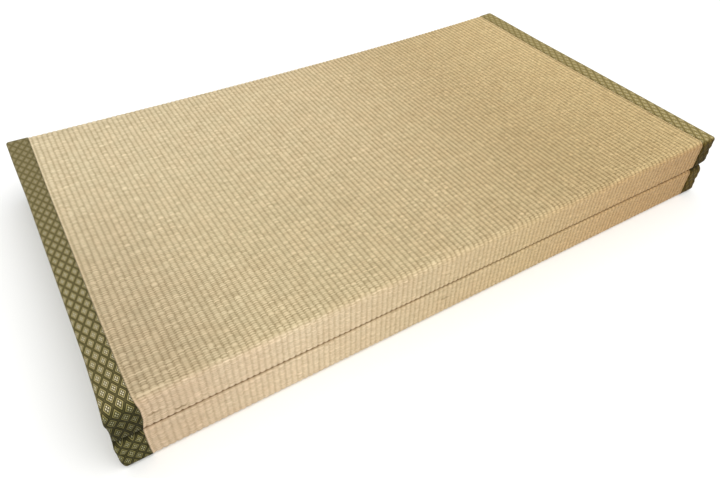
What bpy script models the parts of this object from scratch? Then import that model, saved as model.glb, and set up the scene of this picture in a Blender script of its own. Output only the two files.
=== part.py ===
# A tatami mat folded in four: the rush-faced body and its two cloth bindings.
# Metres, +Z up. The folded mat lies on z = 0 with its middle over the origin. X runs along the width, from the
# left binding to the right one, and the two front folds face -Y.

import math

import bmesh
import bpy
from mathutils.geometry import delaunay_2d_cdt

# Driving dimensions.
WIDTH = 0.955  # over both bindings
DEPTH = 0.548  # from the front folds to the back fold
LAYER = 0.0255  # thickness of the mat, at the crests of its ribs
PAIR_GAP = 0.0010  # between the two layers that a front fold joins
MIDDLE_GAP = 0.0016  # between the lower pair and the upper pair
FOLD_WEB = 0.0090  # thickness of the mat where it turns over in a fold

# Corners of the cross section.
RIDGE_ROUND = 0.0100  # top edge of the upper front fold
RIDGE_ROUND_RIGHT = 0.0040  # and where its right binding ends
GROOVE_ROUND = 0.0045  # edges beside the groove between the pairs, in the middle of the width
GROOVE_ROUND_LEFT = 0.0065
GROOVE_ROUND_RIGHT = 0.0125
FOOT_ROUND = 0.0070  # bottom edge of the lower front fold
BACK_ROUND = 0.0050  # edges of the back fold and of the free ends
CREASE = 0.0010  # depth of the crease across a fold's face, in the middle of the width
CREASE_END = 0.0026  # and at its ends
END_REACH = 0.070  # how far from each end the roundness and the crease change

# Ribs of the rush weave, which run from front to back.
RIBS = 118
RIB_RISE = 0.0008
WIDER_RIBS_OUT = 0.0157  # how much wider than average the ribs are towards the ends, as a share
WIDER_RIBS_RIGHT = 0.0119
RIBS_PER_SPAN = 8  # ribs in one span of the plain, hidden faces

# Cloth bindings.
BINDING_WIDTH = 0.0300
BINDING_CLOTH = 0.0012
BINDING_RISE = 0.0003  # how far the cloth stands above the ribs
CLEARANCE = 0.0007  # between a binding and the body
END_ROUND_OUT = 0.0040  # roundness of each layer's side edge, along the width
END_ROUND_IN = 0.0035  # and across its thickness
END_STEPS = 3

# Unevenness of the lying mat.
BACK_SAG = 0.0045  # how much lower the middle of the back edge lies than its corners
BACK_BOW = 0.0060  # and how much further forward
BOW_LEAN = 0.25  # how far both lean towards the right, as a share
SLACK_REACH = 0.060  # how far from the left front corner its binding puffs out
FLARE = 0.0024  # how far the left back corner lies out
FLARE_REACH = 0.250  # and how far from the left end it is felt
DRIFT_REACH = 0.080  # how far into the facing the drift of the bindings is felt

# Rows where the long faces are divided, as shares of the depth from the front.
DIVISIONS = (0.11, 0.42, 0.72, 0.90)

LAYERS = 4
SMALLEST_ROUND = 0.0008
SAME_PLACE = 1e-6  # points nearer than this are one point
SMOOTH_ANGLE = math.radians(35)

RUSH_COLOR = (0.62, 0.50, 0.29)
BROCADE_COLOR = (0.17, 0.16, 0.07)

STACK = LAYERS * LAYER + 2 * PAIR_GAP + MIDDLE_GAP
FRONT = -DEPTH / 2
BACK = DEPTH / 2
FACING_HALF = WIDTH / 2 - BINDING_WIDTH - CLEARANCE

# The folded mat's cross section, corner by corner: from the back of the top layer forward over it, down the
# upper front fold, and on round the whole outline. Columns: the end that the corner is at, its layer, the face
# of that layer, the roundness, the steps of the arc, and whether the ribs start, go on or stop there.
SECTION = (
    ("back", 3, "top", "back", 2, "start"),
    ("front", 3, "top", "ridge", 3, "on"),
    ("front", 2, "under", "groove", 2, "stop"),
    ("back slit", 2, "under", None, 0, "off"),
    ("back slit", 1, "top", None, 0, "off"),
    ("front", 1, "top", "groove", 2, "start"),
    ("front", 0, "under", "foot", 2, "stop"),
    ("back", 0, "under", "back", 2, "off"),
    ("back", 0, "top", "back", 2, "off"),
    ("front slit", 0, "top", None, 0, "off"),
    ("front slit", 1, "under", None, 0, "off"),
    ("back", 1, "under", "back", 2, "off"),
    ("back", 2, "top", "back", 2, "off"),
    ("front slit", 2, "top", None, 0, "off"),
    ("front slit", 3, "under", None, 0, "off"),
    ("back", 3, "under", "back", 2, "off"),
)

# How the left binding puffs out beside the front folds. Columns: height as a share of the stack's, how far its outer
# edge reaches to the left there, and how far its inner edge reaches to the right.
PUFF = (
    (0.00, 0.0025, 0.0000),
    (0.12, 0.0052, -0.0011),
    (0.38, 0.0056, -0.0009),
    (0.52, 0.0036, -0.0002),
    (0.66, 0.0022, 0.0031),
    (0.82, 0.0043, 0.0038),
    (0.92, 0.0032, 0.0027),
    (1.00, 0.0015, 0.0010),
)

# How far to the right of a straight line the edges of the bindings lie. Columns: place from the front to the back
# as a share of the depth, then the left binding's outer and inner edge, and the right one's inner and outer edge.
DRIFT = (
    (0.00, -0.0001, -0.0020, -0.0003, -0.0006),
    (0.25, 0.0004, -0.0015, -0.0006, -0.0004),
    (0.50, 0.0011, -0.0007, -0.0017, -0.0004),
    (0.72, 0.0018, 0.0001, -0.0015, -0.0015),
    (0.90, 0.0006, 0.0015, 0.0014, -0.0003),
    (1.00, 0.0003, 0.0020, 0.0020, -0.0001),
)


def layer_face(layer, face):
    """The height of one face of one layer, at the crests of the ribs."""
    gaps = (0, PAIR_GAP, PAIR_GAP + MIDDLE_GAP, 2 * PAIR_GAP + MIDDLE_GAP)
    return layer * LAYER + gaps[layer] + (LAYER if face == "top" else 0)


def deepening(x, middle, end):
    """A depth or roundness that is the same over most of the width and changes smoothly towards its ends."""
    from_end = WIDTH / 2 - abs(x)
    share = max(0.0, 1 - from_end / END_REACH)
    return middle + (end - middle) * share * share


def groove_round(x):
    """The roundness of the edges beside the groove."""
    return deepening(x, GROOVE_ROUND, GROOVE_ROUND_LEFT if x < 0 else GROOVE_ROUND_RIGHT)


def ridge_round(x):
    """The roundness of the top edge of the upper front fold."""
    return deepening(x, RIDGE_ROUND, RIDGE_ROUND if x < 0 else RIDGE_ROUND_RIGHT)


def corner_place(end, layer, face, grow, inset):
    """One corner of the section grown outward by grow and drawn in by inset, all but the ends of its slits."""
    reach = grow - inset
    ends = {
        "front": FRONT - reach,
        "back": BACK + reach,
        "front slit": FRONT + FOLD_WEB + grow,
        "back slit": BACK - FOLD_WEB - grow,
    }
    if face == "top":
        return ends[end], layer_face(layer, face) + reach
    return ends[end], max(layer_face(layer, face) - reach, 0.0)


def direction(change):
    return math.copysign(1, change) if abs(change) > SAME_PLACE else 0


def arc(before, corner, after, radius, steps):
    """The rounded form of a square corner, as steps + 1 points."""
    if not steps:
        return [corner]
    to_before = [direction(b - c) for b, c in zip(before, corner)]
    to_after = [direction(a - c) for a, c in zip(after, corner)]
    points = []
    for step in range(steps + 1):
        turn = math.pi / 2 * step / steps
        along_before = radius * (1 - math.sin(turn))
        along_after = radius * (1 - math.cos(turn))
        points.append(
            tuple(c + b * along_before + a * along_after for c, b, a in zip(corner, to_before, to_after))
        )
    return points


def between(start, end, crease):
    """The points that divide one straight face: a crease across a fold's face, rows along a layer."""
    if abs(start[0] - end[0]) > DEPTH / 2:
        rows = [FRONT + share * DEPTH for share in DIVISIONS]
        if start[0] > end[0]:
            rows.reverse()
        return [(y, start[1]) for y in rows]
    if abs(start[1] - end[1]) > LAYER:
        inward = math.copysign(crease, -start[0])
        return [(start[0] + inward, (start[1] + end[1]) / 2)]
    return []


def section(x, grow=0.0, inset=0.0):
    """The closed cross section of the folded mat at x: its (y, z) points, and which of them carry ribs."""
    rounds = {"ridge": ridge_round(x), "groove": groove_round(x), "foot": FOOT_ROUND, "back": BACK_ROUND, None: 0}
    corners = [corner_place(*row[:3], grow, inset) for row in SECTION]
    bends = []
    for k, (_, _, _, kind, steps, _) in enumerate(SECTION):
        radius = max(rounds[kind] + grow - inset, SMALLEST_ROUND)
        following = corners[(k + 1) % len(corners)]
        bends.append(arc(corners[k - 1], corners[k], following, radius, steps))
    crease = deepening(x, CREASE, CREASE_END)
    points = []
    ribbed = []
    for k, bend in enumerate(bends):
        ribs = SECTION[k][-1]
        straight = between(bend[-1], bends[(k + 1) % len(bends)][0], crease)
        points += bend + straight
        on_bend = [ribs != "off"] * len(bend)
        if ribs == "start":
            on_bend[0] = False
        if ribs == "stop":
            on_bend[-1] = False
        ribbed += on_bend + [ribs in ("start", "on")] * len(straight)
    return points, ribbed


def eased(share):
    """A smooth step from 0 to 1."""
    share = min(max(share, 0.0), 1.0)
    return share * share * (3 - 2 * share)


def read_table(table, place):
    """The values of a table at one place, on straight lines between its rows."""
    place = min(max(place, table[0][0]), table[-1][0])
    for (low, *values), (high, *next_values) in zip(table, table[1:]):
        if place <= high:
            share = (place - low) / (high - low)
            return [value + (following - value) * share for value, following in zip(values, next_values)]


def drift(x, y):
    """How far to the right a point lies because the binding beside it isn't straight."""
    left_outer, left_inner, right_inner, right_outer = read_table(DRIFT, (y - FRONT) / DEPTH)
    rim = WIDTH / 2 - BINDING_WIDTH
    over_width = (
        (-WIDTH / 2, left_outer),
        (-rim, left_inner),
        (-rim + DRIFT_REACH, 0.0),
        (rim - DRIFT_REACH, 0.0),
        (rim, right_inner),
        (WIDTH / 2, right_outer),
    )
    return read_table(over_width, x)[0]


def puff(x, y, z):
    """How far to the left a point lies because the left binding puffs out at its front corner."""
    outer, inner = read_table(PUFF, z / STACK)
    from_left = x + WIDTH / 2
    over_binding = min(max(from_left / BINDING_WIDTH, 0.0), 1.0)
    near_binding = eased(1 - max(from_left - BINDING_WIDTH, 0.0) / SLACK_REACH)
    near_front = eased(1 - (y - FRONT) / SLACK_REACH)
    return (outer - (outer + inner) * over_binding) * near_binding * near_front


def settle(x, y, z):
    """Moves a point of the straight, even mat to where it is in the lying one."""
    sideways = 2 * x / WIDTH
    across = (1 - sideways * sideways) * (1 + BOW_LEAN * sideways)
    backward = eased((y - FRONT) / DEPTH)
    from_left = x + WIDTH / 2
    outward = puff(x, y, z) + FLARE * eased(1 - from_left / FLARE_REACH) * backward
    return (
        x - outward + drift(x, y),
        y - BACK_BOW * across * backward,
        z * (1 - BACK_SAG / STACK * across * backward),
    )


def add_ring(mesh, x, grow, inset=0.0):
    points, _ = section(x, grow, inset)
    return [mesh.verts.new(settle(x, y, z)) for y, z in points]


def join_rings(mesh, ring, following):
    for k in range(len(ring)):
        mesh.faces.new((ring[k - 1], ring[k], following[k], following[k - 1]))


def close_ring(mesh, ring):
    """Fills the end of a loft with triangles between neighbouring points of the section."""
    outline, _ = section(0.0)
    rim = [(k, (k + 1) % len(outline)) for k in range(len(outline))]
    triangles = delaunay_2d_cdt(outline, rim, [], 1, SAME_PLACE)[2]
    for triangle in triangles:
        mesh.faces.new([ring[k] for k in triangle])


def end_profile(tip, side):
    """Places along X and insets of the rounded side edge, from the straight part to the tip."""
    for step in range(END_STEPS + 1):
        turn = math.pi / 2 * step / END_STEPS
        yield side * (tip - END_ROUND_OUT * (1 - math.sin(turn))), END_ROUND_IN * (1 - math.cos(turn))


def rib_place(share):
    """The place along X of one line of the ribs, at a share of the facing's width from its left edge."""
    t = 2 * share - 1
    return FACING_HALF * (t + WIDER_RIBS_OUT * (t * t * t - t) + WIDER_RIBS_RIGHT * (t * t - 1))


def body_mesh():
    """The rush-faced mat: ribs on the faces that show, and a thinner rim that the bindings cover."""
    mesh = bmesh.new()
    _, ribbed = section(0.0)
    stations = 2 * RIBS + 1
    span = 2 * RIBS_PER_SPAN
    rings = []
    for k in range(stations):
        x = rib_place(k / (stations - 1))
        crest, _ = section(x)
        valley, _ = section(x, grow=-RIB_RISE)
        ring = []
        for row, shows_ribs in enumerate(ribbed):
            if not shows_ribs and k % span and k < stations - 1:
                ring.append(None)
                continue
            y, z = valley[row] if shows_ribs and k % 2 else crest[row]
            ring.append(mesh.verts.new(settle(x, y, z)))
        rings.append(ring)
    for row in range(len(ribbed)):
        before = row - 1
        if ribbed[row] and ribbed[before]:
            for ring, following in zip(rings, rings[1:]):
                mesh.faces.new((ring[before], ring[row], following[row], following[before]))
            continue
        for start in range(0, stations - 1, span):
            part = rings[start : start + span + 1]
            one_side = [ring[row] for ring in part if ring[row]]
            other_side = [ring[before] for ring in part if ring[before]]
            mesh.faces.new(other_side[::-1] + one_side)
    rim_grow = BINDING_RISE - BINDING_CLOTH - CLEARANCE
    tip = WIDTH / 2 - BINDING_CLOTH - CLEARANCE
    for side, last in ((-1, rings[0]), (1, rings[-1])):
        ring = add_ring(mesh, side * FACING_HALF, rim_grow)
        join_rings(mesh, last, ring)
        for x, inset in end_profile(tip, side):
            following = add_ring(mesh, x, rim_grow, inset)
            join_rings(mesh, ring, following)
            ring = following
        close_ring(mesh, ring)
    return mesh


def binding_mesh(side):
    """One cloth binding: a cap that covers the rim of every layer and the side edges."""
    mesh = bmesh.new()
    rim = side * (WIDTH / 2 - BINDING_WIDTH)
    mouths = []
    for grow, tip in ((BINDING_RISE, WIDTH / 2), (BINDING_RISE - BINDING_CLOTH, WIDTH / 2 - BINDING_CLOTH)):
        ring = add_ring(mesh, rim, grow)
        mouths.append(ring)
        for x, inset in end_profile(tip, side):
            following = add_ring(mesh, x, grow, inset)
            join_rings(mesh, ring, following)
            ring = following
        close_ring(mesh, ring)
    join_rings(mesh, *mouths)
    return mesh


def principled(name, color, roughness):
    material = bpy.data.materials.new(name)
    material.use_nodes = True
    shader = material.node_tree.nodes["Principled BSDF"]
    shader.inputs["Base Color"].default_value = (*color, 1)
    shader.inputs["Roughness"].default_value = roughness
    shader.inputs["Metallic"].default_value = 0.0
    return material


def make_object(name, mesh, material, collection, parent):
    bmesh.ops.recalc_face_normals(mesh, faces=mesh.faces)
    data = bpy.data.meshes.new(name)
    mesh.to_mesh(data)
    mesh.free()
    data.shade_smooth()
    data.set_sharp_from_angle(angle=SMOOTH_ANGLE)
    data.materials.append(material)
    made = bpy.data.objects.new(name, data)
    collection.objects.link(made)
    made.parent = parent
    return made


def centre_on_width(pieces):
    """Moves the mat so that the puffed corner leaves its middle over the origin."""
    places = [vertex.co.x for piece in pieces for vertex in piece.data.vertices]
    middle = (min(places) + max(places)) / 2
    for piece in pieces:
        for vertex in piece.data.vertices:
            vertex.co.x -= middle


def build():
    for left_over in list(bpy.data.objects):
        bpy.data.objects.remove(left_over, do_unlink=True)
    collection = bpy.data.collections.new("folding_tatami_mat")
    bpy.context.scene.collection.children.link(collection)
    root = bpy.data.objects.new("mat_origin", None)
    collection.objects.link(root)
    rush = principled("rush_facing", RUSH_COLOR, 0.65)
    brocade = principled("binding_brocade", BROCADE_COLOR, 0.75)
    pieces = [
        make_object("mat_body", body_mesh(), rush, collection, root),
        make_object("heri_left", binding_mesh(-1), brocade, collection, root),
        make_object("heri_right", binding_mesh(1), brocade, collection, root),
    ]
    centre_on_width(pieces)


build()
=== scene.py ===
# The looks of a tatami mat folded in four: its woven rush facing and its two brocade bindings.
# Metres, +Z up. X runs along the width and the two front folds face -Y.

import math

import bpy
import numpy as np
from mathutils import Matrix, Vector
from mathutils.geometry import delaunay_2d_cdt


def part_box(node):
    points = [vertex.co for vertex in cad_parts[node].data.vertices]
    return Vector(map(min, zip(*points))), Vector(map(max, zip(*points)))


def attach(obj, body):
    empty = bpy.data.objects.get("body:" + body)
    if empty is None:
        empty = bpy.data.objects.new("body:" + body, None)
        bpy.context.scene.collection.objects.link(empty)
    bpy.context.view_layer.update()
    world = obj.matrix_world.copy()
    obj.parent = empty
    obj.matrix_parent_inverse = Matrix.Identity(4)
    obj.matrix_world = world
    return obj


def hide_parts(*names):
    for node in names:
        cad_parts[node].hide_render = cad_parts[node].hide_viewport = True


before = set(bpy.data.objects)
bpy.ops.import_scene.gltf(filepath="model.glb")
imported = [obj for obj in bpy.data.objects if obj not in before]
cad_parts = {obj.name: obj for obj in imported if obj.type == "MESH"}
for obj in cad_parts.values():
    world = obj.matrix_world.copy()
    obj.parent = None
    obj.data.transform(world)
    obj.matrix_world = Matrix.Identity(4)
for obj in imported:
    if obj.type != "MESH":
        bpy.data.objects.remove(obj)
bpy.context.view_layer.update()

# Driving dimensions.
WIDTH = 0.955  # over both bindings
DEPTH = 0.548  # from the front folds to the back fold
LAYER = 0.0255  # thickness of the mat, at the crests of its ribs
PAIR_GAP = 0.0010  # between the two layers that a front fold joins
MIDDLE_GAP = 0.0016  # between the lower pair and the upper pair
FOLD_WEB = 0.0090  # thickness of the mat where it turns over in a fold
BINDING_WIDTH = 0.0300

# Corners of the cross section.
RIDGE_ROUND = 0.0100  # top edge of the upper front fold
RIDGE_ROUND_RIGHT = 0.0040  # and where its right binding ends
GROOVE_ROUND = 0.0045  # edges beside the groove between the pairs, in the middle of the width
GROOVE_ROUND_LEFT = 0.0065
GROOVE_ROUND_RIGHT = 0.0125
FOOT_ROUND = 0.0070  # bottom edge of the lower front fold
BACK_ROUND = 0.0050  # edges of the back fold and of the free ends
CREASE = 0.0008  # depth of the crease across a fold's face, in the middle of the width
CREASE_END = 0.0016  # and at its ends
BELLY = 0.0006  # how far each of a fold's two layers bellies out
END_REACH = 0.070  # how far from each end the roundness and the crease change
END_ROUND_OUT = 0.0040  # roundness of each layer's side edge, along the width
END_ROUND_IN = 0.0035  # and across its thickness
SMALLEST_ROUND = 0.0008
SAME_PLACE = 1e-6  # points nearer than this are one point

# Unevenness of the lying mat.
BACK_SAG = 0.0045  # how much lower the middle of the back edge lies than its corners
BACK_BOW = 0.0060  # and how much further forward
BOW_LEAN = 0.25  # how far both lean towards the right, as a share
SLACK_REACH = 0.060  # how far from the left front corner its binding's puffing out is felt
FLARE = 0.0024  # how far the left back corner lies out
FLARE_REACH = 0.250  # and how far from the left end it is felt
DRIFT_REACH = 0.080  # how far into the facing the drift of the bindings is felt

# The binding's cloth.
CLOTH = 0.0009  # its thickness
CLOTH_RISE = 0.0005  # how far its outer face stands above the ribs
CLOTH_GAP = 0.0004  # between it and the facing under it
CLOTH_DIVISIONS = (0, 0.25, 0.5, 0.75)  # where its top rim is divided, as shares of its width
CLOTH_END_STEPS = 5  # steps of its rounded side edge
CLOTH_FINENESS = 4  # how many times more rows its ribbed faces have than the rush

LAYERS = 4
STACK = LAYERS * LAYER + 2 * PAIR_GAP + MIDDLE_GAP
FRONT = -DEPTH / 2
BACK = DEPTH / 2
RIM = WIDTH / 2 - BINDING_WIDTH
FACING_HALF = RIM - CLOTH_GAP

# Ribs of the rush weave, which run from front to back.
RIBS = 118
RIB_RISE = 0.0010
WIDER_RIBS_OUT = 0.0157  # how much wider than average the ribs are towards the ends, as a share
WIDER_RIBS_RIGHT = 0.0119
RIB_STATIONS = (  # place from one crest to the next, height
    (0.00, 1.00),
    (0.19, 0.90),
    (0.37, 0.50),
    (0.50, 0.00),
    (0.63, 0.50),
    (0.81, 0.90),
)
SHALLOW_VALLEY = 0.20  # how much less deep every other valley is
RIB_PITCH = 2 * FACING_HALF / RIBS
RIM_END_STEPS = 3  # steps of the rounded side edge under the binding

# The camera, worked out from the mat's straight edges: angles in degrees and the lens in millimetres. Its
# place is counted from the middle of the unsettled mat.
CAMERA_PLACE = (-0.4411, -0.6791, 0.6483)
CAMERA_ELEVATION = 42.958
CAMERA_AZIMUTH = -32.326
CAMERA_ROLL = 1.054
CAMERA_LENS = 31.059

# The folded mat's cross section, corner by corner: from the back of the top layer forward over it, down the
# upper front fold, and on round the whole outline. Columns: the end that the corner is at, its layer, the
# face of that layer, the roundness, the steps of the arc, the rows on the straight face after it, and whether
# the ribs start, go on or stop there.
SECTION = (
    ("back", 3, "top", "back", 3, 20, "start"),
    ("front", 3, "top", "ridge", 8, 8, "on"),
    ("front", 2, "under", "groove", 5, 3, "stop"),
    ("back slit", 2, "under", None, 0, 0, "off"),
    ("back slit", 1, "top", None, 0, 3, "off"),
    ("front", 1, "top", "groove", 5, 8, "start"),
    ("front", 0, "under", "foot", 5, 5, "on"),
    ("back", 0, "under", "back", 3, 2, "on"),
    ("back", 0, "top", "back", 3, 3, "stop"),
    ("front slit", 0, "top", None, 0, 0, "off"),
    ("front slit", 1, "under", None, 0, 3, "off"),
    ("back", 1, "under", "back", 3, 5, "start"),
    ("back", 2, "top", "back", 3, 3, "stop"),
    ("front slit", 2, "top", None, 0, 0, "off"),
    ("front slit", 3, "under", None, 0, 3, "off"),
    ("back", 3, "under", "back", 3, 2, "start"),
)
RIDGE, GROOVE_ABOVE, GROOVE_BELOW, FOOT = 1, 2, 5, 6  # numbers of its front corners

# How the left binding puffs out beside the front folds. Columns: height as a share of the stack's, how far
# its outer edge reaches to the left there, and how far its inner edge reaches to the right.
PUFF = (
    (0.00, 0.0025, 0.0000),
    (0.12, 0.0052, -0.0011),
    (0.38, 0.0056, -0.0009),
    (0.52, 0.0036, -0.0002),
    (0.66, 0.0022, 0.0031),
    (0.82, 0.0043, 0.0038),
    (0.92, 0.0032, 0.0027),
    (1.00, 0.0015, 0.0010),
)

# How far to the right of a straight line the edges of the bindings lie. Columns: place from the front to the
# back as a share of the depth, then the left binding's outer and inner edge, and the right one's inner and
# outer edge.
DRIFT = (
    (0.00, -0.0001, -0.0020, -0.0003, -0.0006),
    (0.25, 0.0004, -0.0015, -0.0006, -0.0004),
    (0.50, 0.0011, -0.0007, -0.0017, -0.0004),
    (0.72, 0.0018, 0.0001, -0.0015, -0.0015),
    (0.90, 0.0006, 0.0015, 0.0014, -0.0003),
    (1.00, 0.0003, 0.0020, 0.0020, -0.0001),
)

# The solids stand with their middle over the origin, and the right binding reaches furthest at its back.
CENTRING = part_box("heri_right")[1].x - WIDTH / 2 - DRIFT[-1][-1]


def layer_face(layer, face):
    """The height of one face of one layer, at the crests of the ribs."""
    gaps = (0, PAIR_GAP, PAIR_GAP + MIDDLE_GAP, 2 * PAIR_GAP + MIDDLE_GAP)
    return layer * LAYER + gaps[layer] + (LAYER if face == "top" else 0)


def deepening(x, middle, end):
    """A depth or roundness that is the same over most of the width and changes smoothly towards its ends."""
    from_end = WIDTH / 2 - abs(x)
    share = max(0.0, 1 - from_end / END_REACH)
    return middle + (end - middle) * share * share


def roundness(x):
    """How round each kind of corner is at x."""
    return {
        "ridge": deepening(x, RIDGE_ROUND, RIDGE_ROUND if x < 0 else RIDGE_ROUND_RIGHT),
        "groove": deepening(x, GROOVE_ROUND, GROOVE_ROUND_LEFT if x < 0 else GROOVE_ROUND_RIGHT),
        "foot": FOOT_ROUND,
        "back": BACK_ROUND,
        None: 0,
    }


def corner_place(end, layer, face, grow, inset):
    """One corner of the section, grown outward and drawn in by inset, all but the ends of its slits."""
    reach = grow - inset
    ends = {
        "front": FRONT - reach,
        "back": BACK + reach,
        "front slit": FRONT + FOLD_WEB + grow,
        "back slit": BACK - FOLD_WEB - grow,
    }
    if face == "top":
        return ends[end], layer_face(layer, face) + reach
    return ends[end], max(layer_face(layer, face) - reach, 0.0)


def direction(change):
    """Which way a change goes: -1, 0 or 1."""
    return math.copysign(1, change) if abs(change) > SAME_PLACE else 0


def arc(before, corner, after, radius, steps):
    """The rounded form of a square corner, as steps + 1 points."""
    if not steps:
        return [corner]
    to_before = [direction(b - c) for b, c in zip(before, corner)]
    to_after = [direction(a - c) for a, c in zip(after, corner)]
    points = []
    for step in range(steps + 1):
        turn = math.pi / 2 * step / steps
        along_before = radius * (1 - math.sin(turn))
        along_after = radius * (1 - math.cos(turn))
        points.append(
            tuple(c + b * along_before + a * along_after for c, b, a in zip(corner, to_before, to_after))
        )
    return points


def rows_between(start, end, rows, crease):
    """The points that divide one straight face: evenly along a layer, and over two soft bellies with a crease
    between them where the face is a fold's."""
    points = []
    fold = abs(start[1] - end[1]) > LAYER
    for row in range(rows):
        share = (row + 1) / (rows + 1)
        y, z = (s + (e - s) * share for s, e in zip(start, end))
        if fold:
            from_middle = abs(2 * share - 1)
            dip = crease * (1 - from_middle) ** 2 - BELLY * math.sin(math.pi * from_middle)
            y += math.copysign(dip, -start[0])
        points.append((y, z))
    return points


def section(x, grow=0.0, inset=0.0, fineness=1):
    """The closed cross section of the folded mat at x, as (y, z) points. Fineness is how many times more rows
    its ribbed faces have."""
    rounds = roundness(x)
    corners = [corner_place(*row[:3], grow, inset) for row in SECTION]
    bends = []
    for k, (_, _, _, kind, steps, _, _) in enumerate(SECTION):
        radius = max(rounds[kind] + grow - inset, SMALLEST_ROUND)
        following = corners[(k + 1) % len(corners)]
        bends.append(arc(corners[k - 1], corners[k], following, radius, steps))
    crease = deepening(x, CREASE, CREASE_END)
    points = []
    for k, bend in enumerate(bends):
        rows, ribs = SECTION[k][5:]
        if ribs in ("start", "on"):
            rows = (rows + 1) * fineness - 1
        points += bend + rows_between(bend[-1], bends[(k + 1) % len(bends)][0], rows, crease)
    return points


def path_lengths(outline):
    """How far along the section each of its points is, and the length of the whole outline."""
    outline = np.array(outline)
    steps = np.linalg.norm(np.roll(outline, -1, axis=0) - outline, axis=1)
    return np.concatenate(([0], np.cumsum(steps)))


def corner_along(corner, share=0.5):
    """How far along the folded path a share of one corner's bend lies, from the section's first row."""
    lengths = path_lengths(section(0.0))
    before = sum(steps + 1 + rows for _, _, _, _, steps, rows, _ in SECTION[:corner])
    start, end = lengths[before], lengths[before + SECTION[corner][4]]
    return start + (end - start) * share


def ribbed_rows():
    """Which points of the section carry ribs, as a column of numbers from 0 to 1."""
    ribbed = []
    for _, _, _, _, steps, rows, ribs in SECTION:
        on_bend = [ribs != "off"] * (steps + 1)
        if ribs == "start":
            on_bend[0] = False
        if ribs == "stop":
            on_bend[-1] = False
        ribbed += on_bend + [ribs in ("start", "on")] * rows
    return np.array(ribbed, float)[:, None]


def eased(share):
    """A smooth step from 0 to 1."""
    share = np.clip(share, 0.0, 1.0)
    return share * share * (3 - 2 * share)


def drift(x, y):
    """How far to the right points lie because the binding beside them isn't straight."""
    places, *edges = np.array(DRIFT).T
    share = (y - FRONT) / DEPTH
    left_outer, left_inner, right_inner, right_outer = (np.interp(share, places, edge) for edge in edges)
    near_left = np.clip((DRIFT_REACH - RIM - x) / DRIFT_REACH, 0, 1)
    near_right = np.clip((x - RIM + DRIFT_REACH) / DRIFT_REACH, 0, 1)
    over_left = np.clip((-RIM - x) / BINDING_WIDTH, 0, 1)
    over_right = np.clip((x - RIM) / BINDING_WIDTH, 0, 1)
    left = left_inner * near_left + (left_outer - left_inner) * over_left
    return left + right_inner * near_right + (right_outer - right_inner) * over_right


def puff(x, y, z):
    """How far to the left points lie because the left binding puffs out at its front corner."""
    heights, *reaches = np.array(PUFF).T
    outer, inner = (np.interp(z / STACK, heights, reach) for reach in reaches)
    from_left = x + WIDTH / 2
    over_binding = np.clip(from_left / BINDING_WIDTH, 0, 1)
    near_binding = eased(1 - np.maximum(from_left - BINDING_WIDTH, 0) / SLACK_REACH)
    near_front = eased(1 - (y - FRONT) / SLACK_REACH)
    return (outer - (outer + inner) * over_binding) * near_binding * near_front


def settle(points):
    """Moves points of the straight, even mat to where they are in the lying one."""
    x, y, z = points[..., 0], points[..., 1], points[..., 2]
    sideways = 2 * x / WIDTH
    across = (1 - sideways * sideways) * (1 + BOW_LEAN * sideways)
    backward = eased((y - FRONT) / DEPTH)
    from_left = x + WIDTH / 2
    outward = puff(x, y, z) + FLARE * eased(1 - from_left / FLARE_REACH) * backward
    return np.stack(
        (
            x - outward + drift(x, y) + CENTRING,
            y - BACK_BOW * across * backward,
            z * (1 - BACK_SAG / STACK * across * backward),
        ),
        axis=-1,
    )


def station(x, outline):
    """A ring of points of the straight mat: the section at x."""
    return np.column_stack((np.full(len(outline), x), np.array(outline)))


def cap_triangles(outline):
    """Triangles that fill a section, as rows of three point numbers."""
    rim = [(k, (k + 1) % len(outline)) for k in range(len(outline))]
    return np.array(delaunay_2d_cdt(outline, rim, [], 1, SAME_PLACE)[2])


def make_mesh(name, points, faces, corners_uv, material):
    """A mesh object from points of the straight mat, which are settled here, its faces, and the map's place
    at each face corner."""
    data = bpy.data.meshes.new(name)
    data.from_pydata(settle(points).reshape(-1, 3).tolist(), [], faces)
    layer = data.uv_layers.new(name="path")
    layer.data.foreach_set("uv", np.concatenate(corners_uv).astype(np.float32).ravel())
    data.shade_smooth()
    data.materials.append(material)
    made = bpy.data.objects.new(name, data)
    bpy.context.scene.collection.objects.link(made)
    return made


def loft_faces(first, stations, rows, across, along, turned):
    """The four-sided faces of a loft and their map places, across at each station and along at each row."""
    k, row = np.meshgrid(np.arange(stations - 1), np.arange(rows), indexing="ij")
    k, row = k.ravel(), row.ravel()
    following = (row + 1) % rows
    near, far = k * rows, (k + 1) * rows
    faces = first + np.stack((near + row, far + row, far + following, near + following), 1)
    u0, u1, v0, v1 = across[k], across[k + 1], along[row], along[row + 1]
    places = np.stack([np.stack(corner, 1) for corner in ((u0, v0), (u1, v0), (u1, v1), (u0, v1))], 1)
    if turned:
        faces, places = faces[:, ::-1], places[:, ::-1]
    return faces, places


def end_profile(tip, side, steps):
    """Places along X and insets of the rounded side edge, from the straight part to the tip."""
    for step in range(steps + 1):
        turn = math.pi / 2 * step / steps
        yield side * (tip - END_ROUND_OUT * (1 - math.sin(turn))), END_ROUND_IN * (1 - math.cos(turn))


def rib_place(line):
    """The place along X of one line of the ribs, counted in ribs from the facing's left edge."""
    t = 2 * line / RIBS - 1
    return FACING_HALF * (t + WIDER_RIBS_OUT * (t * t * t - t) + WIDER_RIBS_RIGHT * (t * t - 1))


def rib_stations():
    """For each station of the ribs: its place counted in ribs, and how high it stands, from 0 to 1."""
    for rib in range(RIBS):
        for share, height in RIB_STATIONS:
            yield rib + share, max(height, SHALLOW_VALLEY * (1 - rib % 2))
    yield RIBS, 1.0


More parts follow.
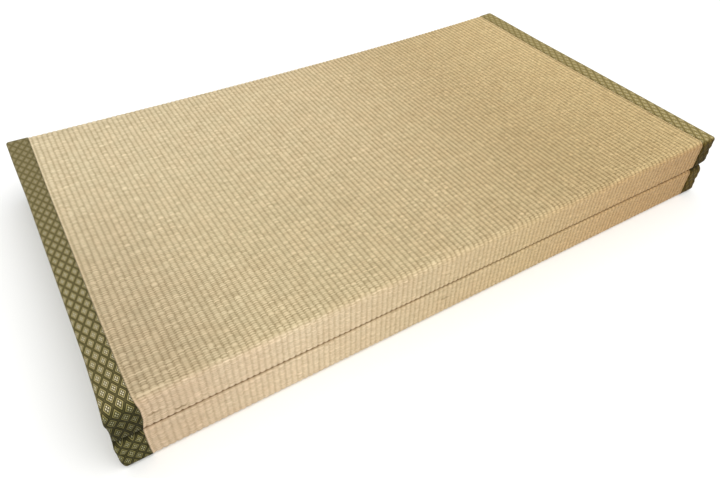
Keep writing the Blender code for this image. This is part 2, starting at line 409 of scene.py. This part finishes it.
def build_body(material):
    """The rush-faced mat, ribbed wherever its facing shows, with a plain rim under the bindings. Its map
    counts ribs across and metres along the folded path."""
    ribbed = ribbed_rows()
    rim_grow = CLOTH_RISE - CLOTH - CLOTH_GAP
    tip = WIDTH / 2 - CLOTH - CLOTH_GAP
    left_rim = list(end_profile(tip, -1, RIM_END_STEPS))[::-1] + [(-FACING_HALF, 0.0)]
    right_rim = [(FACING_HALF, 0.0)] + list(end_profile(tip, 1, RIM_END_STEPS))
    rings = [station(x, section(x, rim_grow, inset)) for x, inset in left_rim]
    across = [(x + FACING_HALF) / RIB_PITCH for x, _ in left_rim]
    for line, height in rib_stations():
        x = rib_place(line)
        crest = station(x, section(x))
        valley = station(x, section(x, -RIB_RISE))
        rings.append(crest + (valley - crest) * (1 - height) * ribbed)
        across.append(line)
    rings += [station(x, section(x, rim_grow, inset)) for x, inset in right_rim]
    across += [RIBS + (x - FACING_HALF) / RIB_PITCH for x, _ in right_rim]
    rings = np.array(rings)
    stations, rows = rings.shape[:2]
    outline = section(0.0)
    faces, places = loft_faces(0, stations, rows, np.array(across), path_lengths(outline), False)
    caps = cap_triangles(outline)
    cap_places = np.array(outline)[caps] * (1 / RIB_PITCH, 1)
    last = (stations - 1) * rows
    all_faces = faces.tolist() + caps.tolist() + (caps[:, ::-1] + last).tolist()
    uvs = (places.reshape(-1, 2), cap_places.reshape(-1, 2), cap_places[:, ::-1].reshape(-1, 2))
    return make_mesh("rush_mat", rings, all_faces, uvs, material)


def build_binding(name, side, material):
    """One cloth binding: a thin cap over the rim of every layer and its side edge. Its map counts metres
    across it and along the folded path."""
    outline = section(0.0, fineness=CLOTH_FINENESS)
    rows = len(outline)
    along = path_lengths(outline)
    caps = cap_triangles(outline)
    rings = []
    all_faces, uvs = [], []
    for outer in (True, False):
        grow = CLOTH_RISE if outer else CLOTH_RISE - CLOTH
        tip = WIDTH / 2 if outer else WIDTH / 2 - CLOTH
        first = len(rings)
        profile = [(side * (RIM + BINDING_WIDTH * share), 0.0) for share in CLOTH_DIVISIONS]
        profile += end_profile(tip, side, CLOTH_END_STEPS)
        rings += [station(x, section(x, grow, inset, CLOTH_FINENESS)) for x, inset in profile]
        across = np.array([abs(x) - RIM + inset for x, inset in profile])
        facing_out = (side > 0) == outer
        faces, places = loft_faces(first * rows, len(profile), rows, across, along, not facing_out)
        all_faces += faces.tolist()
        uvs.append(places.reshape(-1, 2))
        cap = caps + (len(rings) - 1) * rows
        y, z = np.array(outline).T
        cap_places = np.column_stack((across[-1] + STACK - z, BACK - y))[caps]
        if facing_out:
            cap, cap_places = cap[:, ::-1], cap_places[:, ::-1]
        all_faces += cap.tolist()
        uvs.append(cap_places.reshape(-1, 2))
    # The mouth, between the first rings of the outer and of the inner face.
    row = np.arange(rows)
    following = (row + 1) % rows
    inner_first = len(rings) // 2 * rows
    mouth = np.stack((row, following, inner_first + following, inner_first + row), 1)
    mouth_corners = ((0, along[row]), (0, along[row + 1]), (-CLOTH, along[row + 1]), (-CLOTH, along[row]))
    mouth_places = np.stack([np.column_stack((np.full(rows, u), v)) for u, v in mouth_corners], 1)
    if side < 0:
        mouth, mouth_places = mouth[:, ::-1], mouth_places[:, ::-1]
    all_faces += mouth.tolist()
    uvs.append(mouth_places.reshape(-1, 2))
    return make_mesh(name, np.array(rings), all_faces, uvs, material)


class Nodes:
    """Builds the nodes of one material. A value is a number or the output of another node."""

    def __init__(self, name):
        self.material = bpy.data.materials.new(name)
        self.material.use_nodes = True
        self.tree = self.material.node_tree
        self.shader = self.tree.nodes["Principled BSDF"]

    def link(self, value, socket):
        """Gives a socket its value."""
        if isinstance(value, bpy.types.NodeSocket):
            self.tree.links.new(value, socket)
        else:
            socket.default_value = value

    def math(self, operation, *values):
        """One step of arithmetic."""
        node = self.tree.nodes.new("ShaderNodeMath")
        node.operation = operation
        for value, socket in zip(values, node.inputs):
            self.link(value, socket)
        return node.outputs[0]

    def remap(self, value, low, high, to_low=0.0, to_high=1.0):
        """The value from low to high becomes to_low to to_high, smoothly, and stays there outside."""
        node = self.tree.nodes.new("ShaderNodeMapRange")
        node.interpolation_type = "SMOOTHSTEP"
        for given, socket in zip((value, low, high, to_low, to_high), node.inputs):
            self.link(given, socket)
        return node.outputs[0]

    def spread(self, value, most):
        """A value from 0 to 1, spread to run from -most to most."""
        return self.math("MULTIPLY_ADD", value, 2 * most, -most)

    def blend(self, first, second, first_share):
        """Two values added by their shares, which make 1."""
        return self.math("MULTIPLY_ADD", first, first_share, self.math("MULTIPLY", second, 1 - first_share))

    def mix(self, share, first, second, blend="MIX"):
        """One colour turned into another by a share."""
        node = self.tree.nodes.new("ShaderNodeMix")
        node.data_type = "RGBA"
        node.blend_type = blend
        self.link(share, node.inputs["Factor"])
        for value, key in ((first, 6), (second, 7)):
            self.link((*value, 1.0) if isinstance(value, tuple) else value, node.inputs[key])
        return node.outputs[2]

    def tinted(self, colour, tint):
        """A colour of which only the tint's shares are left."""
        return self.mix(1.0, colour, tint, "MULTIPLY")

    def ramp(self, value, stops):
        """Colours, each at its own value and blended evenly between. Colours over 1 are kept."""
        result = tuple(stops[0][1:])
        for (low, *_), (high, *colour) in zip(stops, stops[1:]):
            node = self.tree.nodes.new("ShaderNodeMapRange")
            for given, socket in zip((value, low, high), node.inputs):
                self.link(given, socket)
            result = self.mix(node.outputs[0], result, tuple(colour))
        return result

    def path(self):
        """The map's two places: across the mat, and metres along its folded path."""
        node = self.tree.nodes.new("ShaderNodeUVMap")
        node.uv_map = "path"
        split = self.tree.nodes.new("ShaderNodeSeparateXYZ")
        self.tree.links.new(node.outputs[0], split.inputs[0])
        return split.outputs[0], split.outputs[1]

    def combine(self, *values):
        """Up to three values as one place."""
        node = self.tree.nodes.new("ShaderNodeCombineXYZ")
        for value, socket in zip(values, node.inputs):
            self.link(value, socket)
        return node.outputs[0]

    def scaled(self, values, scales):
        """Up to three values, each times its own scale, as one place."""
        return self.combine(*(self.math("MULTIPLY", value, scale) for value, scale in zip(values, scales)))

    def noise(self, place, scale=1.0, detail=0.0):
        """Soft, even noise from 0 to 1, with as many finer octaves as its detail."""
        node = self.tree.nodes.new("ShaderNodeTexNoise")
        self.link(place, node.inputs["Vector"])
        node.inputs["Scale"].default_value = scale
        node.inputs["Detail"].default_value = detail
        return node.outputs[0]

    def chance(self, *values):
        """A number from 0 to 1 that is even over each whole-numbered place."""
        node = self.tree.nodes.new("ShaderNodeTexWhiteNoise")
        self.link(self.combine(*values), node.inputs["Vector"])
        return node.outputs[0]

    def wave(self, share):
        """0 at both ends of a share from 0 to 1, and 1 in its middle, as one smooth wave."""
        turn = self.math("MULTIPLY", share, math.tau)
        return self.math("MULTIPLY_ADD", self.math("COSINE", turn), -0.5, 0.5)

    def rise(self, value, place, softness):
        """0 below a place and 1 above it."""
        return self.remap(value, place - softness, place + softness)

    def fall(self, value, place, softness):
        """1 below a place and 0 above it."""
        return self.remap(value, place - softness, place + softness, 1.0, 0.0)

    def near(self, value, places, full, none):
        """1 within one distance of any of the places, and 0 beyond another."""
        result = 0.0
        for place in places:
            away = self.math("ABSOLUTE", self.math("SUBTRACT", value, place))
            result = self.math("MAXIMUM", result, self.remap(away, full, none, 1.0, 0.0))
        return result

    def finish(self, colour, roughness, specular, relief, depth, strength):
        """Gives the shader its colour, gloss and relief."""
        bump = self.tree.nodes.new("ShaderNodeBump")
        bump.inputs["Strength"].default_value = strength
        bump.inputs["Distance"].default_value = depth
        self.link(relief, bump.inputs["Height"])
        self.link(bump.outputs[0], self.shader.inputs["Normal"])
        self.link(colour, self.shader.inputs["Base Color"])
        self.shader.inputs["Roughness"].default_value = roughness
        self.shader.inputs["Specular IOR Level"].default_value = specular
        return self.material


# Straws of the rush.
STRAW_PITCH = 0.0016  # of the straws that show on one rib
STRAW_DRIFT = 0.004  # how far the straws wander from straight lines
STRAW_UNEVEN = 0.2  # how unevenly they are spaced, in straws
STRAW_STAGGER = 0.5  # how far apart those of neighbouring ribs are, in straws
CHANCES = {"shade": 1.0, "turn": 3.0, "hue": 5.0}  # sets of chances, each with one for every straw
RUSH_PALE = (0.84, 0.68, 0.43)
RUSH_DARK = (0.30, 0.22, 0.10)
WARM_STRAW = (1.02, 0.985, 0.96)
COOL_STRAW = (0.985, 1.01, 1.01)
GROOVE_SHADE = (0.50, 0.42, 0.30)
GROOVE_LIPS = (corner_along(GROOVE_ABOVE, 1.0), corner_along(GROOVE_BELOW, 0.0))
GROOVE_LIP = (0.0010, 0.0032)  # how far from a lip its shade is full, and how far it goes

# How fast the rush's unevenness changes. A single number is per metre.
WANDER_SCALE = 14.0
PATCH_SCALE = 26.0
SPECKLE_SCALE = 270.0
SPACING_SCALE = (0.7, 190.0)  # per rib, and per metre along it
FIBRE_SCALE = (0.6, 1400.0)
STREAK_SCALE = (3.3, 520.0, 2.0)  # and where in the noise the streaks are
SHARED_SCALE = (0.21, 1.7, 9.5)  # per rib, per straw, and from even ribs to odd ones
STRAY_SCALE = 1.37  # of the stray straws, as a share of that

# How pale the straws are, where 0 is a dark one and 1 is a pale one.
STRAW_SHADE = (0.37, 0.26)  # of the darkest straw, and how much paler the palest is, before the rest
SHARED_SHARE = 0.5  # of a straw's shade, in common with its neighbours
TURNED_SHADE = 0.30  # at most paler or darker where straws take turns
STREAK_SHADE = 0.45  # at most paler or darker in streaks
SHARED_LIMITS = (0.25, 0.75)  # of the noise that neighbouring straws share
STRAY_LIMITS = (0.68, 0.75)  # of the noise from which a straw stands out as a stray one

# The light on the rush, where 0 gives its dark colour and 1 its pale one.
STRAW_LIGHT = (0.38, 1.02)  # of a dark straw and of a pale one
STRAY_LIGHT = 0.35  # added to a stray one
STRAW_EDGE_LIGHT = (0.88, 0.7)  # the share left between two straws, and how high on a straw none is lost
VALLEY_SHADE = (0.29, 0.46)  # taken away between two ribs at the left and at the right
VALLEY_REACH = 0.7  # how high on a rib that ends
VALLEY_SHADE_FULL = 0.9  # where across the facing the shade at the right is reached
FIBRE_LIGHT = 0.12  # at most more or less from fibre to fibre
SPECKLE_LIGHT = (0.06, 0.34)  # at most more or less from speckle to speckle, at the left and at the right
SPECKLE_LIMITS = (0.2, 0.9)  # and where across the facing the left ends and the right begins
FOLD_LIGHT = (0.25, 0.56)  # a base on the front folds, and the share of the light added to it
FOLD_SPECKLE = 0.20  # at most more or less from speckle to speckle there
RIDGE_BLEND = 0.004  # how far from the ridge the top's look changes into the folds'

# Hue of the rush, where 0 is warm and 1 is cool: a base, and how much patches and each straw's own hue add.
BASE_HUE = 0.15
PATCH_HUE = 0.35
OWN_HUE = 0.35
PATCH_LIMITS = (0.3, 0.7)

# Tints of the rush, as shares of its colour: its own uneven tone together with painted light and shade across
# the top and on the front folds. Columns: place across the facing, and red, green and blue.
TOP_TINTS_AND_SHADE = (
    (0.00, 0.92, 0.95, 0.99),
    (0.25, 0.91, 0.925, 0.93),
    (0.50, 0.905, 0.89, 0.86),
    (0.75, 0.80, 0.745, 0.625),
    (1.00, 0.90, 0.835, 0.665),
)
FOLD_TINTS_AND_SHADE = (
    (0.00, 0.82, 0.77, 0.83),
    (0.20, 1.01, 1.00, 1.09),
    (0.40, 0.90, 0.875, 0.875),
    (0.60, 0.84, 0.785, 0.69),
    (0.80, 0.755, 0.63, 0.49),
    (1.00, 0.60, 0.46, 0.31),
)
FRONT_SHADE = (0.90, 0.89, 0.85)  # painted shade on the front of the top
FRONT_SHADE_FROM = 0.1  # how far from the back it starts, as a share of the depth
SHADED_CORNER = (0.82, 0.78, 0.78)  # and of its left end there
SHADED_CORNER_REACH = 0.20  # as a share of the facing
UNTINTED = (1.0, 1.0, 1.0)
FIRST_RIB_HIGHLIGHT = (1.10, 0.6)  # painted highlight on the rush's first rib at its left edge, and the ribs over which it evens out
LAST_RIB_SHADOW = (0.60, 0.05, 0.20)  # painted shadow of the right binding: the share left at the rush's right edge, and how many ribs in that starts and ends

# Single pale straws that stand out near the front, and the painted shade of wrinkles there, where the light
# added is below 0. Columns: ribs from, ribs to, metres along the path, half the width, and the light added
# there.
MARKS = (
    (0.3, 5.0, corner_along(RIDGE, 0.30), 0.0012, 0.60),
    (0.4, 3.8, corner_along(RIDGE, 0.30) - 0.0270, 0.0010, 0.40),
    (0.5, 2.9, corner_along(GROOVE_ABOVE, 0.0) - 0.0150, 0.0011, -0.55),
    (4.4, 6.6, corner_along(GROOVE_ABOVE, 0.0) - 0.0040, 0.0012, -0.60),
    (52.0, 54.6, corner_along(FOOT, 0.0) - 0.0220, 0.0011, -0.50),
)
MARK_ENDS = (0.4, 0.8)  # ribs over which a mark starts and ends
MARK_SOFTNESS = 0.4  # of its long edges, as a share of half its width

RUSH_GLOSS = (0.55, 0.3)  # roughness and specular level
RUSH_RELIEF = (0.0003, 0.7)  # depth and strength
STRAW_RELIEF = 0.8  # the straws' share of it, the rest being the fibres'


def weave_places(n, across, along, flat):
    """The rib and the straw of a place, whether the rib is odd, and how high on both it is, from 0 to 1."""
    from_valley = n.math("ADD", across, 0.5)
    rib = n.math("FLOOR", from_valley)
    odd = n.math("MODULO", rib, 2.0)
    wander = n.math("MULTIPLY_ADD", n.noise(flat, WANDER_SCALE, 1.0), STRAW_DRIFT, along)
    straws = n.math("MULTIPLY_ADD", odd, STRAW_STAGGER, n.math("DIVIDE", wander, STRAW_PITCH))
    straws = n.math("MULTIPLY_ADD", n.noise(n.scaled((rib, along), SPACING_SCALE)), STRAW_UNEVEN, straws)
    on_straw = n.wave(n.math("FRACT", straws))
    on_rib = n.wave(n.math("FRACT", from_valley))
    return rib, odd, n.math("FLOOR", straws), on_rib, on_straw


def straw_lights(n, across, along, rib, odd, straw):
    """The light on each straw, and what is added to it where it is a stray one."""
    shared_place = n.scaled((across, straw, odd), SHARED_SCALE)
    shared_shade = n.remap(n.noise(shared_place), *SHARED_LIMITS)
    shade = n.blend(shared_shade, n.chance(straw, rib, CHANCES["shade"]), SHARED_SHARE)
    darkest, paler = STRAW_SHADE
    shade = n.math("MULTIPLY_ADD", shade, paler, darkest)
    every_other = n.spread(n.math("PINGPONG", straw, 1.0), 1.0)
    turned = n.math("MULTIPLY", every_other, n.chance(straw, rib, CHANCES["turn"]))
    shade = n.math("MULTIPLY_ADD", turned, TURNED_SHADE, shade)
    streaks = n.noise(n.scaled((rib, along, 1.0), STREAK_SCALE), detail=1.0)
    shade = n.math("ADD", shade, n.spread(streaks, STREAK_SHADE))
    stray = n.remap(n.noise(shared_place, STRAY_SCALE), *STRAY_LIMITS)
    return n.remap(shade, 0.0, 1.0, *STRAW_LIGHT), n.math("MULTIPLY", stray, STRAY_LIGHT)


def valley_shade(n, place, on_rib):
    """The light lost between two ribs."""
    shade = n.remap(place, 0.0, VALLEY_SHADE_FULL, *VALLEY_SHADE)
    return n.math("MULTIPLY", n.remap(on_rib, 0.0, VALLEY_REACH, 1.0, 0.0), shade)


def edge_light(n, on_straw):
    """The share of the light that is left between two straws."""
    least, reach = STRAW_EDGE_LIGHT
    return n.remap(on_straw, 0.0, reach, least, 1.0)


def speckled_light(n, light, place, flat, on_fold):
    """The light with its speckles, and evener on the front folds than on the top."""
    speckle = n.spread(n.noise(flat, SPECKLE_SCALE, 1.0), 1.0)
    light = n.math("MULTIPLY_ADD", speckle, n.remap(place, *SPECKLE_LIMITS, *SPECKLE_LIGHT), light)
    base, share = FOLD_LIGHT
    fold_light = n.math("MULTIPLY_ADD", light, share, base)
    fold_light = n.math("MULTIPLY_ADD", speckle, FOLD_SPECKLE, fold_light)
    return n.math("ADD", light, n.math("MULTIPLY", on_fold, n.math("SUBTRACT", fold_light, light)))


def marked_light(n, light, across, along):
    """The light with that of the single pale straws and the painted shade of the wrinkles."""
    starts_over, ends_over = MARK_ENDS
    for first_rib, last_rib, mark, half_width, added in MARKS:
        started = n.remap(across, first_rib, first_rib + starts_over)
        on_mark = n.math("MULTIPLY", started, n.remap(across, last_rib - ends_over, last_rib, 1.0, 0.0))
        full, none = half_width * (1 - MARK_SOFTNESS), half_width * (1 + MARK_SOFTNESS)
        on_mark = n.math("MULTIPLY", on_mark, n.near(along, (mark,), full, none))
        light = n.math("MULTIPLY_ADD", on_mark, added, light)
    return light


def rush_tint_and_shade(n, across, along, place, on_fold):
    """The shares of the rush's colour that its tints leave: its own uneven tone with painted light and shade,
    a painted highlight on its first rib and a painted shadow at its right edge.
    """
    # Painted shade on the front of the top and at its left end.
    to_front = n.remap(along, DEPTH * FRONT_SHADE_FROM, DEPTH)
    to_left = n.remap(place, 0.0, SHADED_CORNER_REACH, 1.0, 0.0)
    corner = n.mix(n.math("MULTIPLY", to_front, to_left), UNTINTED, SHADED_CORNER)
    top = n.tinted(n.ramp(place, TOP_TINTS_AND_SHADE), corner)
    top = n.tinted(top, n.mix(to_front, UNTINTED, FRONT_SHADE))
    # The front folds get their own tints, which paint their light and shade apart from the top's.
    tint = n.mix(on_fold, top, n.ramp(place, FOLD_TINTS_AND_SHADE))
    # A painted highlight on the first rib at the left edge, and a painted shadow beside the right binding.
    first_highlight, first_reach = FIRST_RIB_HIGHLIGHT
    last_shadow, last_full, last_reach = LAST_RIB_SHADOW
    left = n.remap(across, 0.0, first_reach, first_highlight, 1.0)
    right = n.remap(across, RIBS - last_reach, RIBS - last_full, 1.0, last_shadow)
    edge_highlight_and_shadow = n.math("MULTIPLY", right, left)
    return n.tinted(tint, n.combine(edge_highlight_and_shadow, edge_highlight_and_shadow, edge_highlight_and_shadow))


def rush_material():
    """Woven rush: short straws across each rib, those of neighbouring ribs half a straw apart."""
    n = Nodes("woven_rush")
    across, along = n.path()
    place = n.math("DIVIDE", across, float(RIBS))
    flat = n.combine(n.math("MULTIPLY", across, RIB_PITCH), along)
    on_fold = n.rise(along, corner_along(RIDGE), RIDGE_BLEND)
    rib, odd, straw, on_rib, on_straw = weave_places(n, across, along, flat)
    fibres = n.noise(n.scaled((across, along), FIBRE_SCALE), detail=2.0)
    straw_light, stray_light = straw_lights(n, across, along, rib, odd, straw)
    light = n.math("SUBTRACT", straw_light, valley_shade(n, place, on_rib))
    light = n.math("MULTIPLY", light, edge_light(n, on_straw))
    light = n.math("ADD", n.math("ADD", light, n.spread(fibres, FIBRE_LIGHT)), stray_light)
    light = speckled_light(n, light, place, flat, on_fold)
    colour = n.mix(marked_light(n, light, across, along), RUSH_DARK, RUSH_PALE)
    patch = n.remap(n.noise(flat, PATCH_SCALE, 2.0), *PATCH_LIMITS)
    own_hue = n.chance(straw, rib, CHANCES["hue"])
    hue = n.math("MULTIPLY_ADD", patch, PATCH_HUE, n.math("MULTIPLY_ADD", own_hue, OWN_HUE, BASE_HUE))
    colour = n.tinted(colour, n.mix(hue, WARM_STRAW, COOL_STRAW))
    # Tints that hold painted light and shade as well as the rush's own tone.
    colour = n.tinted(colour, rush_tint_and_shade(n, across, along, place, on_fold))
    colour = n.mix(n.near(along, GROOVE_LIPS, *GROOVE_LIP), colour, n.tinted(colour, GROOVE_SHADE))
    return n.finish(colour, *RUSH_GLOSS, n.blend(on_straw, fibres, STRAW_RELIEF), *RUSH_RELIEF)


# The binding's pattern: its lozenges in metres, and what is in one as shares of the distance between two lines
# of the lattice.
LOZENGE_ACROSS = 0.0116
LOZENGE_ALONG = 0.0198
LATTICE_FROM = 0.455  # where the lattice's line starts, from the middle of a lozenge
RING = (0.265, 0.350)  # the inner and the outer edge of the ring
DOTS = (0.045, 0.180)  # the near and the far edge of the four dots
EDGE = 0.040  # softness of every line
DARK_SILK = ((0.010, 0.011, 0.003), (0.024, 0.024, 0.008))  # its darkest and its palest thread
LATTICE_SILK = (0.10, 0.095, 0.035)
RING_SILK = (0.50, 0.45, 0.21)
DOT_SILK = (0.95, 0.92, 0.68)
FADED_SILK = (0.185, 0.160, 0.078)
THREAD_SCALE = 900.0  # how fast the threads change, per metre
BROCADE_GLOSS = (0.7, 0.08)  # roughness and specular level
BROCADE_RELIEF = (0.0003, 0.6)  # depth and strength
PATTERN_RELIEF = 0.7  # the pattern's share of it, the rest being the threads'

# How dark the binding is down the front, along the folded path. Columns: corner of the section, share of its
# bend, and the share of its colour that is left.
BINDING_SHADE = (
    (0, 0.0, 0.97),
    (RIDGE, 0.1, 0.97),
    (RIDGE, 1.0, 0.42),
    (GROOVE_ABOVE, 0.0, 0.28),
    (GROOVE_ABOVE, 0.8, 0.11),
    (GROOVE_BELOW, 0.1, 0.14),
    (GROOVE_BELOW, 0.9, 0.55),
    (FOOT, 0.0, 0.46),
    (FOOT, 1.0, 0.30),
)
FACE_SHADE_FROM, FACE_SHADE_FULL = 0.2, 0.8  # where on the ridge's bend the faces' painted shade starts and is full

# How each binding is painted with light: shares of its colour on the top, which stand in for its sheen, and on
# the front faces, which stand in for their shade, and how faded its pattern is at the front and at the back.
LEFT_BINDING = ((0.94, 0.87, 0.77), (0.84, 0.82, 0.58), 0.2, 0.66)
RIGHT_BINDING = ((1.44, 1.28, 1.02), (0.74, 0.54, 0.17), 0.55, 0.7)


def lozenge_pattern(n, across, along):
    """Where the lattice, its rings and their four dots are, each from 0 to 1."""
    p = n.math("DIVIDE", across, LOZENGE_ACROSS)
    q = n.math("DIVIDE", along, LOZENGE_ALONG)
    away = []
    for operation in ("ADD", "SUBTRACT"):
        share = n.math("FRACT", n.math(operation, p, q))
        away.append(n.math("ABSOLUTE", n.math("SUBTRACT", share, 0.5)))
    outward = n.math("MAXIMUM", *away)
    inward = n.math("MINIMUM", *away)
    lattice = n.rise(outward, LATTICE_FROM, EDGE)
    ring = n.math("MULTIPLY", n.rise(outward, RING[0], EDGE), n.fall(outward, RING[1], EDGE))
    dots = n.math("MULTIPLY", n.fall(outward, DOTS[1], EDGE), n.rise(inward, DOTS[0], EDGE))
    return lattice, ring, dots


def brocade_material(name, painted_top_sheen, painted_face_shade, faded, faded_back):
    """Binding cloth: a lattice of lozenges, each with a pale ring round four dots. It is faded by one share
    at the front and another at the back, and painted with shade down its front and with sheen on its top."""
    n = Nodes(name)
    across, along = n.path()
    lattice, ring, dots = lozenge_pattern(n, across, along)
    threads = n.noise(n.combine(across, along), THREAD_SCALE, 2.0)
    colour = n.mix(threads, *DARK_SILK)
    for share, silk in ((lattice, LATTICE_SILK), (ring, RING_SILK), (dots, DOT_SILK)):
        colour = n.mix(share, colour, silk)
    colour = n.mix(n.remap(along, 0.0, DEPTH, faded_back, faded), colour, FADED_SILK)
    stops = [(corner_along(corner, share), left, left, left) for corner, share, left in BINDING_SHADE]
    colour = n.tinted(colour, n.ramp(along, stops))
    on_face = n.remap(along, corner_along(RIDGE, FACE_SHADE_FROM), corner_along(RIDGE, FACE_SHADE_FULL))
    # Painted light: a sheen on the top and shade on the front faces.
    colour = n.tinted(colour, n.mix(on_face, painted_top_sheen, painted_face_shade))
    raised = n.math("MAXIMUM", n.math("MAXIMUM", ring, dots), lattice)
    return n.finish(colour, *BROCADE_GLOSS, n.blend(raised, threads, PATTERN_RELIEF), *BROCADE_RELIEF)


# The floor and the light.
FLOOR_SIZE = 14.0
FLOOR_COLOR = (0.93, 0.93, 0.92, 1.0)
FLOOR_ROUGHNESS = 0.9
SKY_COLOR = (0.97, 0.985, 1.0, 1.0)
SKY_STRENGTH = 0.85
SUN_COLOR = (1.0, 0.98, 0.95)
SUNS = (  # name; azimuth, elevation and softness in degrees; strength
    ("key", 35, 60, 50, 1.25),
    ("fill", -50, 35, 60, 0.5),
)


def add_floor():
    bpy.ops.mesh.primitive_plane_add(size=FLOOR_SIZE, location=(0, 0, 0))
    floor = bpy.context.object
    floor.name = "floor"
    n = Nodes("pale_floor")
    n.shader.inputs["Base Color"].default_value = FLOOR_COLOR
    n.shader.inputs["Roughness"].default_value = FLOOR_ROUGHNESS
    floor.data.materials.append(n.material)


def looking_from(azimuth, elevation):
    """The turn of a camera or light that looks at the mat from an azimuth and an elevation, in degrees.
    Azimuth 0 is the front and 90 the right."""
    sideways = Matrix.Rotation(math.radians(azimuth), 4, "Z")
    return sideways @ Matrix.Rotation(math.radians(90 - elevation), 4, "X")


def add_camera():
    data = bpy.data.cameras.new("camera")
    data.lens = CAMERA_LENS
    data.sensor_fit = "HORIZONTAL"
    camera = bpy.data.objects.new("camera", data)
    x, y, z = CAMERA_PLACE
    roll = Matrix.Rotation(math.radians(CAMERA_ROLL), 4, "Z")
    turn = looking_from(CAMERA_AZIMUTH, CAMERA_ELEVATION) @ roll
    camera.matrix_world = Matrix.Translation((x + CENTRING, y, z)) @ turn
    bpy.context.scene.collection.objects.link(camera)
    bpy.context.scene.camera = camera


def add_light():
    world = bpy.data.worlds.new("studio")
    world.use_nodes = True
    sky = world.node_tree.nodes["Background"]
    sky.inputs["Color"].default_value = SKY_COLOR
    sky.inputs["Strength"].default_value = SKY_STRENGTH
    bpy.context.scene.world = world
    for name, azimuth, elevation, softness, strength in SUNS:
        data = bpy.data.lights.new(name, "SUN")
        data.angle = math.radians(softness)
        data.energy = strength
        data.color = SUN_COLOR
        light = bpy.data.objects.new(name, data)
        light.matrix_world = looking_from(azimuth, elevation)
        bpy.context.scene.collection.objects.link(light)


def build():
    rush = rush_material()
    body = build_body(rush)
    left = build_binding("binding_left", -1, brocade_material("left_brocade", *LEFT_BINDING))
    right = build_binding("binding_right", 1, brocade_material("right_brocade", *RIGHT_BINDING))
    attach(body, "root")
    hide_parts("mat_body")
    for piece, node in ((left, "heri_left"), (right, "heri_right")):
        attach(piece, "root")
        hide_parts(node)


bpy.context.scene.view_settings.view_transform = "Standard"
add_camera()
build()
add_floor()
add_light()
